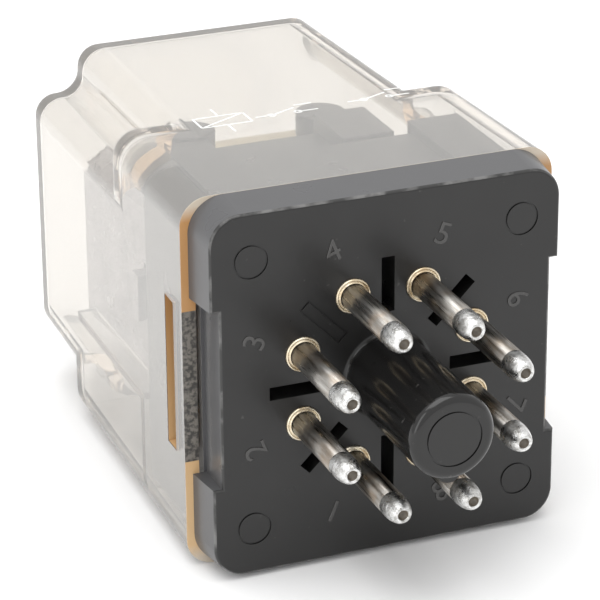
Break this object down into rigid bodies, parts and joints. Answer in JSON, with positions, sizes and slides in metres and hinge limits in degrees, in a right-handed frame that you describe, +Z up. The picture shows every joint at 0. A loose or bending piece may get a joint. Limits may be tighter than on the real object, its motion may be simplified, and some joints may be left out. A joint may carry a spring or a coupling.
{
  "type": "plug-in relay",
  "caption": "Plug-in relay with an octal plug base, a clear stepped cover and a clapper armature that rocks to work its contacts.",
  "frame": {"origin": "centre of the pin circle, on the base's face that seats on the socket", "axes": "+Y along the plug axis, away from the socket and into the cover; +Z up, away from the locating post's key; +X to the right, seen from the pins"},
  "size_m": [0.0354, 0.0635, 0.0354],
  "materials": {
    "phenolic": "black moulded phenolic, semi gloss",
    "clear_cover": "clear polycarbonate, faintly warm",
    "pin_metal": "bright nickel plate over brass",
    "solder": "tinned solder, bright and slightly uneven",
    "steel": "plated magnet steel, dull grey",
    "spring_wire": "drawn spring wire",
    "copper": "bare copper",
    "magnet_wire": "enamelled copper wire",
    "tape": "cream polyester tape",
    "bronze": "rolled phosphor bronze",
    "terminal_brass": "stamped brass",
    "silver": "fine silver contact",
    "lead_sleeve": "dark insulating sleeve"
  },
  "bodies": {
    "base": {"base": "phenolic", "bobbin": "phenolic", "braid_1": "copper", "braid_2": "copper", "coil_lead_1": "lead_sleeve", "coil_lead_2": "lead_sleeve", "coil_winding": "magnet_wire", "coil_wrap": "tape", "common_terminal_1": "terminal_brass", "common_terminal_2": "terminal_brass", "core": "steel", "cover": "clear_cover", "frame_leg_high": "steel", "frame_leg_low": "steel", "frame_screw_high": "steel", "frame_screw_low": "steel", "nc_contact_1": "silver", "nc_contact_2": "silver", "nc_terminal_1": "terminal_brass", "nc_terminal_2": "terminal_brass", "no_contact_1": "silver", "no_contact_2": "silver", "no_terminal_1": "terminal_brass", "no_terminal_2": "terminal_brass", "pin_1": "pin_metal", "pin_2": "pin_metal", "pin_3": "pin_metal", "pin_4": "pin_metal", "pin_5": "pin_metal", "pin_6": "pin_metal", "pin_7": "pin_metal", "pin_8": "pin_metal", "return_spring": "spring_wire", "shading_ring": "copper", "solder_1": "solder", "solder_2": "solder", "solder_3": "solder", "solder_4": "solder", "solder_5": "solder", "solder_6": "solder", "solder_7": "solder", "solder_8": "solder", "spring_bracket": "steel", "terminal_block": "phenolic", "terminal_board": "phenolic", "yoke": "steel"},
    "armature": {"armature": "steel", "contact_carrier": "phenolic", "moving_arm_1": "bronze", "moving_arm_2": "bronze", "moving_contact_1": "silver", "moving_contact_2": "silver"}
  },
  "joints": [
    {"name": "armature_pivot", "type": "hinge", "parent": "base", "child": "armature", "pos_m": [-0.01105, 0.0242, 0], "axis": [0, 0, -1], "range_deg": [0, 5], "stiffness_Nm_per_rad": 0.02, "springref_deg": -11.46, "deforming": ["return_spring", "braid_1", "braid_2"]}
  ]
}
